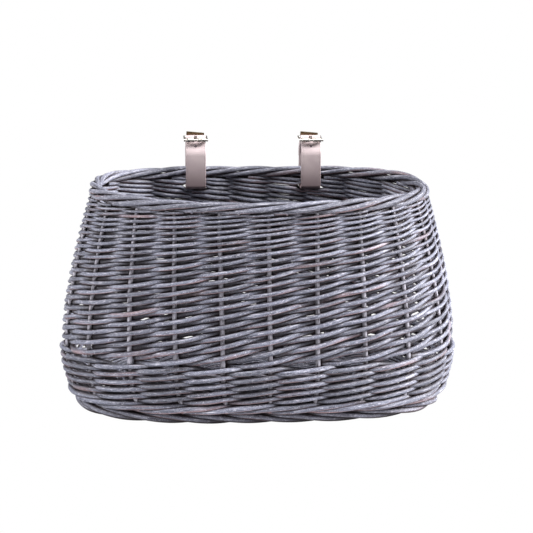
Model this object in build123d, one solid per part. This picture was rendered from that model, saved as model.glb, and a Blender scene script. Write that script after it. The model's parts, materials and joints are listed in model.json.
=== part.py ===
"""Woven willow handlebar basket with two buckled straps.

Millimetres, +Z up. The origin is on the ground plane, under the middle of the basket.
-Y is the front of the basket and +Y the back, which faces the rider and carries the straps.
Each sub-part is written to parts/NODE.step.
"""
from build123d import *
from math import acos, asin, atan2, cos, degrees, hypot, pi, radians, sin
import os

# Plan of the basket's outer face at three heights: half width, front depth, back depth, and how
# square the front and the back are (2 is an ellipse, more is squarer)
BELLY_HEIGHT = 62.0
RIM_TOP = 212.0
BELLY_HALF_WIDTH = 190.0
FOOT_TUCK = 14.0
RIM_TUCK = 31.0
FOOT_PLAN = (BELLY_HALF_WIDTH - FOOT_TUCK, 92.0, 100.0, 2.9, 3.0)
BELLY_PLAN = (BELLY_HALF_WIDTH, 105.0, 109.0, 2.5, 3.0)
RIM_PLAN = (BELLY_HALF_WIDTH - RIM_TUCK, 107.0, 97.0, 2.1, 3.2)

# How late the wall draws in towards the rim and towards the foot
RIM_DRAW_POWER = 1.5
FOOT_DRAW_POWER = 2

# Heights and thicknesses of the woven bands, from the ground up
FOOT_HEIGHT = 11.0
FOOT_WIDTH = 13.0
FOOT_ROUND = 4.0
UPSETT_TOP = 22.0
UPSETT_THICKNESS = 11.0
WALE_TOP = 58.0
WALE_THICKNESS = 10.0
SIDING_THICKNESS = 9.0
BORDER_HEIGHT = 12.0
BORDER_WIDTH = 13.0
BORDER_ROUND = 4.5
BASE_THICKNESS = 8.0

# Willow stakes of the wall and sticks of the base
STAKE_COUNT = 22
STAKE_DIAMETER = 4.6
STAKE_LEAN = 2.5
STAKE_END_COVER = 4.0
CROSS_STICK_COUNT = 7
CROSS_STICK_SPACING = 38.0
CROSS_STICK_DIAMETER = 6.0
LONG_STICK_COUNT = 3
LONG_STICK_SPACING = 9.0
LONG_STICK_DIAMETER = 3.6
STICK_EDGE_COVER = 5.0

# Clearances
SEAT_GAP = 0.3
BED_GAP = 0.2
ROD_GAP = 0.25
PIN_GAP = 0.08

# Handlebar and straps
HANDLEBAR_DIAMETER = 22.2
HANDLEBAR_GAP = 0.1
HANDLEBAR_LIFT = 0.4
STRAP_SPACING = 116.0
STRAP_WIDTH = 20.0
STRAP_THICKNESS = 1.6
STRAP_CORNER = 3.0
STRAP_END_LENGTH = 6.0
STRAP_SLOT_DROP = 21.5
STRAP_SWING = 8.0
SLOT_REACH = 2.0
FLAP_GAP = 0.1
HOLE_DIAMETER = 3.0
HOLE_PITCH = 9.0
FIRST_HOLE = 4.5
PUNCH_LENGTH = 2.6
FLAP_END_ANGLE = 28.0

# Buckle: a frame with a centre bar, and a prong on that bar
CENTRE_BAR_DIAMETER = 2.4
END_BAR_DIAMETER = 3.0
END_BAR_REACH = 10.5
END_BAR_RISE = 1.5
SIDE_PLATE_THICKNESS = 1.8
PRONG_WIDTH = 3.0
PRONG_DIAMETER = 1.8
PRONG_RING_WALL = 1.1
PRONG_OVERHANG = 2.2
PRONG_LIFT = 12.0
PRONG_HOLE_GAP = 0.6
PRONG_ROOT_DROP = 0.4
PRONG_SLOT_START = 1.5
PRONG_SLOT_OVERCUT = 0.5

OUTLINE_POINTS = 32
STAKE_POINTS = 6
SECTION_SPACING = 28.0
ARC_SAMPLES = 720
FULL_TURN = 360.0

LOOP_RADIUS = HANDLEBAR_DIAMETER / 2 + HANDLEBAR_GAP
LOOP_LINE = LOOP_RADIUS + STRAP_THICKNESS / 2
LOOP_HEIGHT = RIM_TOP + LOOP_RADIUS + HANDLEBAR_LIFT
SLOT_HEIGHT = RIM_TOP - STRAP_SLOT_DROP


# ---------------------------------------------------------------- plan outlines
def plan_at(height):
    """Half width, front and back depth, and front and back squareness at a height."""
    if height > BELLY_HEIGHT:
        share = ((height - BELLY_HEIGHT) / (RIM_TOP - BELLY_HEIGHT)) ** RIM_DRAW_POWER
        far_plan = RIM_PLAN
    else:
        share = ((BELLY_HEIGHT - height) / BELLY_HEIGHT) ** FOOT_DRAW_POWER
        far_plan = FOOT_PLAN
    return [near + (far - near) * share for near, far in zip(BELLY_PLAN, far_plan)]


def outline_point(height, angle, inset=0.0):
    """Point of the outline at a height and polar angle (degrees), moved in by inset."""
    half_width, front, back, front_power, back_power = plan_at(height)
    x_part = abs(cos(radians(angle)))
    y_part = abs(sin(radians(angle)))
    is_front = sin(radians(angle)) < 0
    depth = front if is_front else back
    power = front_power if is_front else back_power
    terms = (x_part / (half_width - inset)) ** power + (y_part / (depth - inset)) ** power
    radius = terms ** (-1 / power)
    return radius * cos(radians(angle)), radius * sin(radians(angle))


def outline_face(height, inset=0.0):
    """Flat face inside the outline at a height."""
    angles = [FULL_TURN * i / OUTLINE_POINTS for i in range(OUTLINE_POINTS)]
    points = [(*outline_point(height, angle, inset), height) for angle in angles]
    return make_face(Spline(*points, periodic=True))


def depths_at(height, x, inset):
    """Y of the front and of the back of the outline at a height and an X."""
    half_width, front, back, front_power, back_power = plan_at(height)
    across_share = abs(x) / (half_width - inset)
    y_front = -(front - inset) * (1 - across_share ** front_power) ** (1 / front_power)
    y_back = (back - inset) * (1 - across_share ** back_power) ** (1 / back_power)
    return y_front, y_back


def stake_angles():
    """Polar angles that space the stakes evenly along the belly, with one at the middle of the back."""
    step = FULL_TURN / ARC_SAMPLES
    marks = [outline_point(BELLY_HEIGHT, 90 + step * i) for i in range(ARC_SAMPLES + 1)]
    lengths = [hypot(b[0] - a[0], b[1] - a[1]) for a, b in zip(marks, marks[1:])]
    spacing = sum(lengths) / STAKE_COUNT
    angles = []
    travelled = 0.0
    for i, length in enumerate(lengths):
        if travelled >= spacing * len(angles) - length / 2 and len(angles) < STAKE_COUNT:
            angles.append(90 + step * i)
        travelled += length
    return angles


# ---------------------------------------------------------------- woven shells
def wall_band(low, high, thickness):
    """Closed band of the wall between two heights, as a shell of one thickness."""
    spans = max(2, round((high - low) / SECTION_SPACING))
    heights = [low + (high - low) * i / spans for i in range(spans + 1)]
    outer = loft([outline_face(h) for h in heights])
    inner = loft([outline_face(h, thickness) for h in heights])
    return outer - inner


def flat_ring(low, high, outer_inset, width, rounding):
    """Upright ring that follows the outline, with its outer and inner edges rounded."""
    middle = (low + high) / 2
    level = Location((0, 0, low - middle))
    outer = extrude(level * outline_face(middle, outer_inset), amount=high - low, dir=(0, 0, 1))
    inner = extrude(level * outline_face(middle, outer_inset + width), amount=high - low, dir=(0, 0, 1))
    ring = outer - inner
    return fillet(ring.edges().group_by(Axis.Z)[-1], rounding)


def rod_along(points, diameter):
    """Round rod whose middle runs through points."""
    path = Spline(*points)
    start = Plane(origin=path @ 0, z_dir=path % 0)
    return sweep(start * Circle(diameter / 2), path=path)


def stake_line(angle):
    """Middle line of one stake, which leans a little as the weave pulls it round."""
    low = FOOT_HEIGHT + SEAT_GAP
    high = RIM_TOP - STAKE_END_COVER
    points = []
    for i in range(STAKE_POINTS):
        height = low + (high - low) * i / (STAKE_POINTS - 1)
        lean = STAKE_LEAN * (1 - height / SLOT_HEIGHT)
        points.append((*outline_point(height, angle + lean, SIDING_THICKNESS / 2), height))
    return points


def longer_line(points, amount):
    """The same line with both ends moved on, so that a hole runs past a rod's ends."""
    low, high = points[0], points[-1]
    return [(low[0], low[1], low[2] - amount), *points[1:-1], (high[0], high[1], high[2] + amount)]


def base_stick(length, diameter, along):
    """Straight stick of the base, centred over the origin, along X or Y."""
    turn = (0, 90, 0) if along == "X" else (90, 0, 0)
    return Rot(*turn) * Cylinder(diameter / 2, length)


# ---------------------------------------------------------------- straps and buckles
# The strap and buckle are drawn in a side view: first number towards the back, second up, from the
# middle of the handlebar. PIN is the centre bar of the buckle.
PIN = (0.0, LOOP_LINE + CENTRE_BAR_DIAMETER / 2 + SEAT_GAP + STRAP_THICKNESS / 2)
EYE_LINE = PIN[1] - LOOP_LINE
FLAP_LINE = LOOP_LINE + STRAP_THICKNESS + FLAP_GAP
TAIL_EYE_LINE = EYE_LINE + STRAP_THICKNESS + SEAT_GAP
TAIL_LINE = FLAP_LINE + STRAP_THICKNESS + SEAT_GAP
SIDE_VIEW = Plane(origin=(0, 0, 0), x_dir=(0, 1, 0), z_dir=(1, 0, 0))


def on_circle(centre, radius, angle):
    """Point on a circle at an angle in degrees."""
    return centre[0] + radius * cos(radians(angle)), centre[1] + radius * sin(radians(angle))


def belt_angle(low_radius, top_radius):
    """Angle from upright at which a belt round the loop and the pin leaves both circles."""
    return degrees(acos((low_radius - top_radius) / PIN[1]))


def strap_path():
    """Middle line of one strap, from the sewn flap, round the pin and the loop, to the free end."""
    hub = (0.0, 0.0)
    low = SLOT_HEIGHT - LOOP_HEIGHT
    flap_lean = 90 - belt_angle(FLAP_LINE, EYE_LINE)
    near_lean = 90 + belt_angle(LOOP_LINE, TAIL_EYE_LINE)
    far_lean = 90 - belt_angle(TAIL_LINE, TAIL_EYE_LINE)
    corner = STRAP_CORNER
    near_corner = (-LOOP_LINE + corner, low + corner)
    far_corner = (LOOP_LINE - corner, low + corner)
    return [
        CenterArc(hub, FLAP_LINE, FLAP_END_ANGLE, flap_lean - FLAP_END_ANGLE),
        Line(on_circle(hub, FLAP_LINE, flap_lean), on_circle(PIN, EYE_LINE, flap_lean)),
        CenterArc(PIN, EYE_LINE, flap_lean, 270 - flap_lean),
        CenterArc(hub, LOOP_LINE, 90, -90),
        Line((LOOP_LINE, 0), (LOOP_LINE, low + corner)),
        CenterArc(far_corner, corner, 0, -90),
        Line((LOOP_LINE - corner, low), (-LOOP_LINE + corner, low)),
        CenterArc(near_corner, corner, 270, -90),
        Line((-LOOP_LINE, low + corner), (-LOOP_LINE, 0)),
        CenterArc(hub, LOOP_LINE, 180, near_lean - 180),
        Line(on_circle(hub, LOOP_LINE, near_lean), on_circle(PIN, TAIL_EYE_LINE, near_lean)),
        CenterArc(PIN, TAIL_EYE_LINE, near_lean, far_lean - near_lean),
        Line(on_circle(PIN, TAIL_EYE_LINE, far_lean), on_circle(hub, TAIL_LINE, far_lean)),
        CenterArc(hub, TAIL_LINE, far_lean, -far_lean),
        Line((TAIL_LINE, 0), (TAIL_LINE, -STRAP_END_LENGTH)),
    ]


def across(face, width):
    """Side-view face given a width, centred on the middle of the strap."""
    return extrude(SIDE_VIEW * face, amount=width / 2, both=True)


def prong_tilt():
    """Angle at which the prong rises from the pin to rest on the near bar."""
    bar = hypot(END_BAR_REACH, END_BAR_RISE)
    rise = degrees(atan2(END_BAR_RISE, END_BAR_REACH))
    rest = (END_BAR_DIAMETER + PRONG_DIAMETER) / 2 + SEAT_GAP
    return rise + degrees(asin((rest - prong_offset()) / bar))


def prong_offset():
    """Distance of the prong's middle line from the pin's middle."""
    return CENTRE_BAR_DIAMETER / 2 + PIN_GAP + PRONG_DIAMETER / 2 - PRONG_ROOT_DROP


def prong_shank(thickness, width, start, end):
    """Bar along the prong's middle line, between two distances from the pin."""
    length = end - start
    bar = Pos(-(start + end) / 2, 0) * Rectangle(length, thickness)
    turned = Pos(*PIN) * Rot(0, 0, -prong_tilt()) * Pos(0, prong_offset()) * bar
    return across(turned, width)


def hole_tool(edges, distance):
    """Punch for a strap hole, at a distance along a run of the strap's middle line."""
    for edge in edges:
        if distance <= edge.length:
            spot = edge.position_at(distance, position_mode=PositionMode.LENGTH)
            along = edge.tangent_at(distance, position_mode=PositionMode.LENGTH)
            break
        distance -= edge.length
    normal = Vector(0, -along.Y, along.X)
    middle = Vector(0, spot.X, spot.Y)
    punch = Cylinder(HOLE_DIAMETER / 2, PUNCH_LENGTH)
    return Plane(origin=middle, z_dir=normal) * punch


def make_strap():
    """One strap, closed into a loop round the rim and the handlebar, with its punched holes."""
    path = strap_path()
    strap = across(trace(path, line_width=STRAP_THICKNESS), STRAP_WIDTH)
    ring = PRONG_WIDTH + 2 * PRONG_HOLE_GAP
    eye = Pos(*PIN) * Circle(EYE_LINE + STRAP_THICKNESS / 2 + SEAT_GAP / 2)
    strap -= across(eye, ring)
    lift = Rot(0, 0, -PRONG_LIFT / 2)
    slot_end = TAIL_EYE_LINE + STRAP_THICKNESS + PRONG_SLOT_OVERCUT
    opening = PRONG_DIAMETER + 2 * PRONG_HOLE_GAP + TAIL_EYE_LINE * radians(PRONG_LIFT)
    slot_length = slot_end - PRONG_SLOT_START
    slot = Pos(-(PRONG_SLOT_START + slot_end) / 2, 0) * Rectangle(slot_length, opening)
    turned = Pos(*PIN) * Rot(0, 0, -prong_tilt()) * lift * Pos(0, prong_offset()) * slot
    strap -= across(turned, PRONG_DIAMETER + 2 * PRONG_HOLE_GAP)
    near_line = path[9:11]
    used_hole = sum(edge.length for edge in near_line)
    strap -= hole_tool(near_line, used_hole - HOLE_PITCH)
    tail = path[12:15]
    strap -= hole_tool(tail, FIRST_HOLE)
    strap -= hole_tool(tail, FIRST_HOLE + HOLE_PITCH)
    return strap


def make_frame():
    """Buckle frame: two arched side plates, a bar at each end, and the centre bar."""
    clear = STRAP_WIDTH / 2 + SEAT_GAP
    near = (-END_BAR_REACH, PIN[1] + END_BAR_RISE)
    far = (END_BAR_REACH, PIN[1] + END_BAR_RISE)
    end_bar = Circle(END_BAR_DIAMETER / 2)
    middle = Pos(*PIN) * Circle(END_BAR_DIAMETER / 2)
    plate = make_hull((middle + Pos(*near) * end_bar).edges())
    plate += make_hull((middle + Pos(*far) * end_bar).edges())
    outer_width = 2 * (clear + SIDE_PLATE_THICKNESS)
    frame = across(plate, outer_width) - across(plate, 2 * clear)
    frame += across(Pos(*near) * end_bar, outer_width)
    frame += across(Pos(*far) * end_bar, outer_width)
    frame += across(Pos(*PIN) * Circle(CENTRE_BAR_DIAMETER / 2), outer_width)
    return frame


def make_prong():
    """Prong: a ring on the centre bar and a shank that rests on the near bar."""
    bore = CENTRE_BAR_DIAMETER / 2 + PIN_GAP
    shank = prong_shank(PRONG_DIAMETER, PRONG_DIAMETER, 0, END_BAR_REACH + PRONG_OVERHANG)
    ring = across(Pos(*PIN) * Circle(bore + PRONG_RING_WALL), PRONG_WIDTH)
    return shank + ring - across(Pos(*PIN) * Circle(bore), 2 * PRONG_WIDTH)


# ---------------------------------------------------------------- assembly
def build():
    """All the sub-parts by node name."""
    border_low = RIM_TOP - BORDER_HEIGHT
    lines = [stake_line(angle) for angle in stake_angles()]
    stakes = [rod_along(line, STAKE_DIAMETER) for line in lines]
    channels = [rod_along(longer_line(line, ROD_GAP), STAKE_DIAMETER + 2 * ROD_GAP) for line in lines]

    foot = flat_ring(0, FOOT_HEIGHT - BED_GAP, 0, FOOT_WIDTH, FOOT_ROUND)
    upsett = wall_band(FOOT_HEIGHT, UPSETT_TOP - BED_GAP, UPSETT_THICKNESS)
    wale = wall_band(UPSETT_TOP, WALE_TOP - BED_GAP, WALE_THICKNESS)
    siding = wall_band(WALE_TOP, border_low - BED_GAP, SIDING_THICKNESS)
    overhang = (SIDING_THICKNESS - BORDER_WIDTH) / 2
    border = flat_ring(border_low, RIM_TOP, overhang, BORDER_WIDTH, BORDER_ROUND)

    base_low = FOOT_HEIGHT
    base_middle = base_low + BASE_THICKNESS / 2
    base_outline = outline_face(base_low, UPSETT_THICKNESS + SEAT_GAP)
    base = extrude(base_outline, amount=BASE_THICKNESS, dir=(0, 0, 1))
    nodes = {}
    inset = UPSETT_THICKNESS + STICK_EDGE_COVER
    long_sticks = []
    for i in range(LONG_STICK_COUNT):
        y = (i - (LONG_STICK_COUNT - 1) / 2) * LONG_STICK_SPACING
        length = 2 * (plan_at(base_low)[0] - inset)
        long_sticks.append((Pos(0, y, base_middle), length))
    for i in range(CROSS_STICK_COUNT):
        x = (i - (CROSS_STICK_COUNT - 1) / 2) * CROSS_STICK_SPACING
        y_front, y_back = depths_at(base_low, x, inset)
        place = Pos(x, (y_front + y_back) / 2, base_middle)
        stick = place * base_stick(y_back - y_front, CROSS_STICK_DIAMETER, "Y")
        base -= place * base_stick(y_back - y_front + 2 * ROD_GAP, CROSS_STICK_DIAMETER + 2 * ROD_GAP, "Y")
        for spot, length in long_sticks:
            stick -= spot * base_stick(length, LONG_STICK_DIAMETER + 2 * ROD_GAP, "X")
        nodes[f"base_cross_stick_{i + 1:02d}"] = stick
    for i, (spot, length) in enumerate(long_sticks):
        nodes[f"base_long_stick_{i + 1:02d}"] = spot * base_stick(length, LONG_STICK_DIAMETER, "X")
        base -= spot * base_stick(length + 2 * ROD_GAP, LONG_STICK_DIAMETER + 2 * ROD_GAP, "X")

    slot_depth = SIDING_THICKNESS / 2 + SLOT_REACH
    slot_height = STRAP_THICKNESS + 2 * (SEAT_GAP + slot_depth * sin(radians(STRAP_SWING)))
    loop_depth = depths_at(RIM_TOP, STRAP_SPACING / 2, SIDING_THICKNESS / 2)[1]
    for side, sign in (("left", -1), ("right", 1)):
        x = sign * STRAP_SPACING / 2
        slot = Box(STRAP_WIDTH + 2 * SEAT_GAP, 2 * SIDING_THICKNESS, slot_height)
        siding -= Pos(x, loop_depth, SLOT_HEIGHT) * slot
        place = Pos(x, loop_depth, LOOP_HEIGHT)
        nodes[f"{side}_strap"] = place * make_strap()
        nodes[f"{side}_buckle_frame"] = place * make_frame()
        nodes[f"{side}_buckle_prong"] = place * make_prong()

    nodes["upsett_wale"] = upsett - channels
    nodes["wale_band"] = wale - channels
    nodes["siding_weave"] = siding - channels
    nodes["rim_border"] = border - channels
    nodes["foot_border"] = foot
    nodes["base_weave"] = base
    for i, stake in enumerate(stakes):
        nodes[f"stake_{i + 1:02d}"] = stake
    return nodes


def main():
    """Write each sub-part to its own STEP file."""
    os.makedirs("parts", exist_ok=True)
    for name, shape in build().items():
        solids = shape.solids()
        shape = solids[0] if len(solids) == 1 else Compound(children=list(solids))
        shape.label = name
        export_step(shape, f"parts/{name}.step")
        print(name, len(solids), round(shape.volume, 1))


main()
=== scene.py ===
"""Handlebar basket of grey-washed willow, with two buckled straps.

Metres, +Z up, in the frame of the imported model: -Y is the front, +Y the back with the straps.
The willow is built rod by rod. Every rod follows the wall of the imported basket, so that the weave,
the border, the foot and the base lie where their closed CAD shells lie.
"""

import json
import logging
import math
from collections.abc import Callable, Iterable, Sequence
from dataclasses import dataclass, field
from enum import Enum

import bpy
import numpy as np
from mathutils import Matrix, Vector


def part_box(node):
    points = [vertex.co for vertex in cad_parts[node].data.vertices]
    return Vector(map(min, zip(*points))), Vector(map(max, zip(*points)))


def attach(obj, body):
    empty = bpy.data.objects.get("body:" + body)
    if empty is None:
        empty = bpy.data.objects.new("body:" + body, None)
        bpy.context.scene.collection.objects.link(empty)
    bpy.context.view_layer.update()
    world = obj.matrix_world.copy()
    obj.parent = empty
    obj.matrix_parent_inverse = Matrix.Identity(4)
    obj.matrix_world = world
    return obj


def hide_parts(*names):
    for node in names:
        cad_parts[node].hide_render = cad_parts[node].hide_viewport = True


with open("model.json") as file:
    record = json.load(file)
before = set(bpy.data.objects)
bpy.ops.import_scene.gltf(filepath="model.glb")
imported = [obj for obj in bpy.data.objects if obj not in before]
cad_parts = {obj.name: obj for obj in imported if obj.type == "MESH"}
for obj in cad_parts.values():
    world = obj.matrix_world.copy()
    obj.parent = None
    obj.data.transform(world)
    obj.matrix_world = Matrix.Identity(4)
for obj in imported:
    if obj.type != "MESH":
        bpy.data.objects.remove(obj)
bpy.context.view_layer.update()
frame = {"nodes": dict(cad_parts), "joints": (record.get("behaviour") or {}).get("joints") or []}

MM = 0.001
LOG = logging.getLogger("handlebar_basket")


# ------------------------------------------------------------------ finishes
def srgb(code: str) -> tuple[float, float, float, float]:
    """Turn an sRGB hex colour into linear RGBA.

    Args:
        code: the colour as six hex digits.

    Returns:
        Linear red, green, blue and an alpha of 1.
    """
    parts = [int(code[i:i + 2], 16) / 255 for i in (0, 2, 4)]
    linear = [c / 12.92 if c <= 0.04045 else ((c + 0.055) / 1.055) ** 2.4 for c in parts]
    return (*linear, 1.0)


def add_node(tree: bpy.types.NodeTree, kind: str, links: dict | None = None, **settings) -> bpy.types.Node:
    """Add a shader node with its settings and links.

    Args:
        tree: the node tree to add to.
        kind: the node's type name.
        links: input name or index to the output socket that feeds it.
        **settings: node attributes; a key that starts with "in_" sets that input's own value.

    Returns:
        The new node.
    """
    node = tree.nodes.new(kind)
    for key, value in settings.items():
        if not key.startswith("in_"):
            setattr(node, key, value)
    for key, value in settings.items():
        if key.startswith("in_"):
            name = key[3:]
            node.inputs[int(name) if name.isdigit() else name.replace("_", " ")].default_value = value
    for name, output in (links or {}).items():
        tree.links.new(output, node.inputs[name])
    return node


def ramp(tree: bpy.types.NodeTree, factor: bpy.types.NodeSocket,
         stops: Sequence[tuple[float, str]]) -> bpy.types.NodeSocket:
    """Add a colour ramp.

    Args:
        tree: the node tree to add to.
        factor: the socket that drives the ramp.
        stops: positions and hex colours, in order.

    Returns:
        The ramp's colour output.
    """
    node = add_node(tree, "ShaderNodeValToRGB", {"Fac": factor})
    bar = node.color_ramp.elements
    while len(bar) < len(stops):
        bar.new(0.5)
    for element, (position, code) in zip(bar, stops):
        element.position = position
        element.color = srgb(code)
    return node.outputs["Color"]


def new_material(name: str) -> tuple[bpy.types.Material, bpy.types.NodeTree, bpy.types.Node]:
    """Make a node material that holds only a Principled shader.

    Args:
        name: the material's name.

    Returns:
        The material, its node tree and the shader.
    """
    material = bpy.data.materials.new(name)
    material.use_nodes = True
    tree = material.node_tree
    tree.nodes.clear()
    shader = add_node(tree, "ShaderNodeBsdfPrincipled")
    add_node(tree, "ShaderNodeOutputMaterial", {"Surface": shader.outputs["BSDF"]})
    return material, tree, shader


@dataclass(frozen=True)
class WashedWillow:
    """Peeled willow rod with a thin blue-grey wash: satin, streaked along the rod, rubbed in places.

    The wash lies unevenly, so pale fibres, dark pores and the brown-pink wood show through it. The
    crevices between the rods are painted dark brown where the rods crowd each other: painted shade.
    """

    name: str
    dark: str = "2F2D38"
    wash: str = "626473"
    pale: str = "B6B5C1"
    crust: str = "D6D4DD"
    wood: str = "85696B"
    # The next colour is painted shade for the crevices between the rods, and the distance after it sets how
    # far that painted shade reaches.
    bare_wood_and_shade: str = "2B2226"
    painted_shade_reach: float = 9 * MM
    streak_length: float = 15 * MM
    streak_width: float = 1.3 * MM
    fleck: float = 1.1 * MM
    crumb: float = 0.45 * MM
    roughness: float = 0.62

    def material(self) -> bpy.types.Material:
        """Build the material from the rods' own coordinates (length and section, in metres).

        Returns:
            The material.
        """
        material, tree, shader = new_material(self.name)
        skin = add_node(tree, "ShaderNodeAttribute", attribute_name="rod_skin")
        tone = add_node(tree, "ShaderNodeAttribute", attribute_name="rod_tone")

        def fibre(length: float, width: float, detail: float) -> bpy.types.NodeSocket:
            """Noise drawn out along the rod to a fibre of this length and width.

            Args:
                length: length of a fibre.
                width: width of a fibre.
                detail: the noise's detail.

            Returns:
                The noise's output.
            """
            stretch = add_node(tree, "ShaderNodeMapping", {"Vector": skin.outputs["Vector"]},
                               in_Scale=(1 / length, 1 / width, 1 / width))
            noise = add_node(tree, "ShaderNodeTexNoise",
                             {"Vector": stretch.outputs["Vector"], "W": shift.outputs["Value"]},
                             noise_dimensions="4D", in_Scale=1.0, in_Detail=detail, in_Roughness=0.6)
            return noise.outputs["Fac"]

        shift = add_node(tree, "ShaderNodeMath", {0: tone.outputs["Fac"]}, operation="MULTIPLY", in_1=91.0)
        streaks = fibre(self.streak_length, self.streak_width, 4.0)
        flecks = fibre(self.fleck * 3, self.fleck, 3.0)
        patches = fibre(self.streak_length * 5, self.streak_width * 7, 2.0)
        crumbs = fibre(self.crumb * 2, self.crumb, 2.0)

        base = ramp(tree, streaks, [(0.36, self.dark), (0.46, self.wash), (0.57, self.wash),
                                    (0.72, self.pale)])
        facing = add_node(tree, "ShaderNodeSeparateXYZ",
                          {"Vector": add_node(tree, "ShaderNodeNewGeometry").outputs["Normal"]})
        below = add_node(tree, "ShaderNodeMapRange", {"Value": facing.outputs["Z"]}, in_1=-0.2, in_2=-0.9,
                         in_4=0.26)
        missed = add_node(tree, "ShaderNodeMath", {0: patches, 1: below.outputs["Result"]}, operation="ADD")
        bare_wood_and_shade = add_node(tree, "ShaderNodeMapRange", {"Value": missed.outputs["Value"]}, in_1=0.60, in_2=0.75)
        rubbed = add_node(tree, "ShaderNodeMixRGB", {"Fac": bare_wood_and_shade.outputs["Result"], "Color1": base},
                          in_Color2=srgb(self.wood))
        flecked = add_node(tree, "ShaderNodeMapRange", {"Value": flecks}, in_1=0.55, in_2=0.66, in_4=0.60)
        speckled = add_node(tree, "ShaderNodeMixRGB",
                            {"Fac": flecked.outputs["Result"], "Color1": rubbed.outputs["Color"]},
                            in_Color2=srgb(self.pale))
        grit = add_node(tree, "ShaderNodeMapRange", {"Value": crumbs}, in_1=0.60, in_2=0.68, in_4=0.75)
        gritty = add_node(tree, "ShaderNodeMixRGB",
                          {"Fac": grit.outputs["Result"], "Color1": speckled.outputs["Color"]},
                          in_Color2=srgb(self.crust))
        level = add_node(tree, "ShaderNodeMapRange", {"Value": tone.outputs["Fac"]}, in_3=0.72, in_4=1.22)
        shaded = add_node(tree, "ShaderNodeHueSaturation",
                          {"Color": gritty.outputs["Color"], "Value": level.outputs["Result"]})
        # Painted shade: ambient occlusion mixes the colour towards the dark crevice colour where rods crowd
        # together.
        painted_shade_reach = add_node(tree, "ShaderNodeAmbientOcclusion", samples=8, in_Distance=self.painted_shade_reach)
        unshaded_share = add_node(tree, "ShaderNodeMapRange", {"Value": painted_shade_reach.outputs["AO"]},
                           in_1=0.42, in_2=0.92)
        with_painted_shade = add_node(tree, "ShaderNodeMixRGB",
                          {"Fac": unshaded_share.outputs["Result"], "Color2": shaded.outputs["Color"]},
                          in_Color1=srgb(self.bare_wood_and_shade))
        tree.links.new(with_painted_shade.outputs["Color"], shader.inputs["Base Color"])

        gloss = add_node(tree, "ShaderNodeMapRange", {"Value": streaks}, in_3=self.roughness - 0.12,
                         in_4=self.roughness + 0.16)
        tree.links.new(gloss.outputs["Result"], shader.inputs["Roughness"])
        shader.inputs["IOR"].default_value = 1.5
        grain = add_node(tree, "ShaderNodeBump", {"Height": streaks}, in_Strength=0.7,
                         in_Distance=0.35 * MM)
        tree.links.new(grain.outputs["Normal"], shader.inputs["Normal"])
        return material


@dataclass(frozen=True)
class StrapLeather:
    """Smooth artificial leather, rolled with a fine pebble grain: soft sheen, even pale taupe.

    It is darkened towards the bottom, where it passes in through the rim: painted shade.
    """

    name: str = "strap_leather"
    colour: str = "B5A6A7"
    cloudy: str = "AB9C9E"
    # The next colour is painted shade, laid in from the first height down to the second.
    low_shade_colour: str = "655659"
    shade_from: float = 226 * MM
    shade_to: float = 188 * MM
    cloud: float = 16 * MM
    grain: float = 0.7 * MM
    roughness: float = 0.62

    def material(self) -> bpy.types.Material:
        """Build the material from object coordinates.

        Returns:
            The material.
        """
        material, tree, shader = new_material(self.name)
        place = add_node(tree, "ShaderNodeTexCoord")
        pebble = add_node(tree, "ShaderNodeTexVoronoi", {"Vector": place.outputs["Object"]},
                          in_Scale=1 / self.grain)
        cloud = add_node(tree, "ShaderNodeTexNoise", {"Vector": place.outputs["Object"]},
                         in_Scale=1 / self.cloud, in_Detail=3.0)
        leather_clouds = ramp(tree, cloud.outputs["Fac"], [(0.35, self.cloudy), (0.60, self.colour)])
        # Painted shade: the leather is darkened towards the bottom, below the rim.
        height = add_node(tree, "ShaderNodeSeparateXYZ", {"Vector": place.outputs["Object"]})
        low_shade = add_node(tree, "ShaderNodeMapRange", {"Value": height.outputs["Z"]},
                         interpolation_type="SMOOTHSTEP", in_1=self.shade_from, in_2=self.shade_to)
        with_low_shade = add_node(tree, "ShaderNodeMixRGB", {"Fac": low_shade.outputs["Result"], "Color1": leather_clouds},
                        in_Color2=srgb(self.low_shade_colour))
        tree.links.new(with_low_shade.outputs["Color"], shader.inputs["Base Color"])
        shader.inputs["Roughness"].default_value = self.roughness
        shader.inputs["IOR"].default_value = 1.5
        bump = add_node(tree, "ShaderNodeBump", {"Height": pebble.outputs["Distance"]}, in_Strength=0.25,
                        in_Distance=0.08 * MM)
        tree.links.new(bump.outputs["Normal"], shader.inputs["Normal"])
        return material


@dataclass(frozen=True)
class PlatedMetal:
    """Nickel plate on a die-cast buckle, polished by tumbling: bright, with faint tarnished marks.

    In darker colours it is the far bar, whose dark brown is a painted reflection of its dark surroundings.
    """

    name: str = "nickel_plate"
    colour: str = "E6E1DA"
    mark_tone: str = "A99B88"
    mark: float = 1.2 * MM

    def material(self) -> bpy.types.Material:
        """Build the material from object coordinates.

        Returns:
            The material.
        """
        material, tree, shader = new_material(self.name)
        place = add_node(tree, "ShaderNodeTexCoord")
        noise = add_node(tree, "ShaderNodeTexNoise", {"Vector": place.outputs["Object"]},
                         in_Scale=1 / self.mark, in_Detail=4.0)
        colour = ramp(tree, noise.outputs["Fac"], [(0.30, self.mark_tone), (0.46, self.colour)])
        tree.links.new(colour, shader.inputs["Base Color"])
        rough = add_node(tree, "ShaderNodeMapRange", {"Value": noise.outputs["Fac"]}, in_3=0.32, in_4=0.16)
        tree.links.new(rough.outputs["Result"], shader.inputs["Roughness"])
        shader.inputs["Metallic"].default_value = 1.0
        return material


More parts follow.
